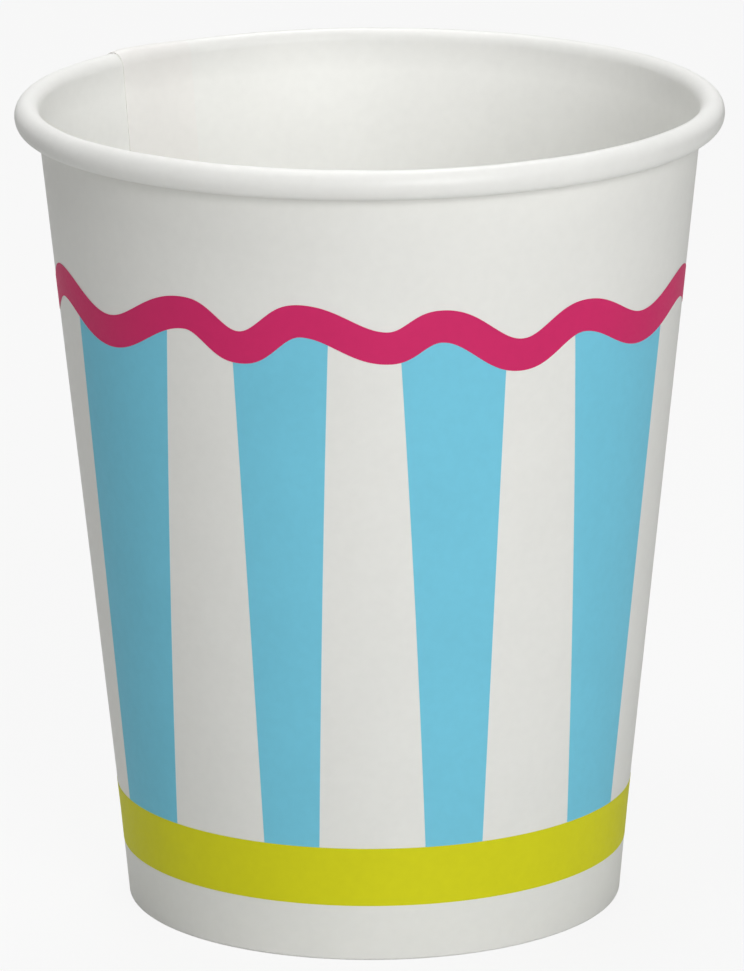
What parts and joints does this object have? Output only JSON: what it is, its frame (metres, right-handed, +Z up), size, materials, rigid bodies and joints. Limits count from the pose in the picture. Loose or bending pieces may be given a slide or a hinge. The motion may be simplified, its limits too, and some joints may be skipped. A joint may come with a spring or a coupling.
{
  "type": "paper cup",
  "caption": "Open disposable drinking cup of wrapped paper board with a rolled rim, a recessed floor and a printed outside.",
  "frame": {"origin": "centre of the foot, on the surface that the cup stands on", "axes": "+Z up along the cup's axis, -Y towards the front of the print"},
  "size_m": [0.08, 0.08, 0.093],
  "materials": {
    "coated_board": "coated white board, satin",
    "floor_board": "coated white board, satin",
    "green_ink": "printed ink, satin",
    "blue_ink": "printed ink, satin",
    "magenta_ink": "printed ink, satin"
  },
  "bodies": {
    "root": {"sidewall": "coated_board", "bottom_disc": "floor_board", "green_band": "green_ink", "blue_stripes": "blue_ink", "wavy_line": "magenta_ink"}
  },
  "joints": []
}
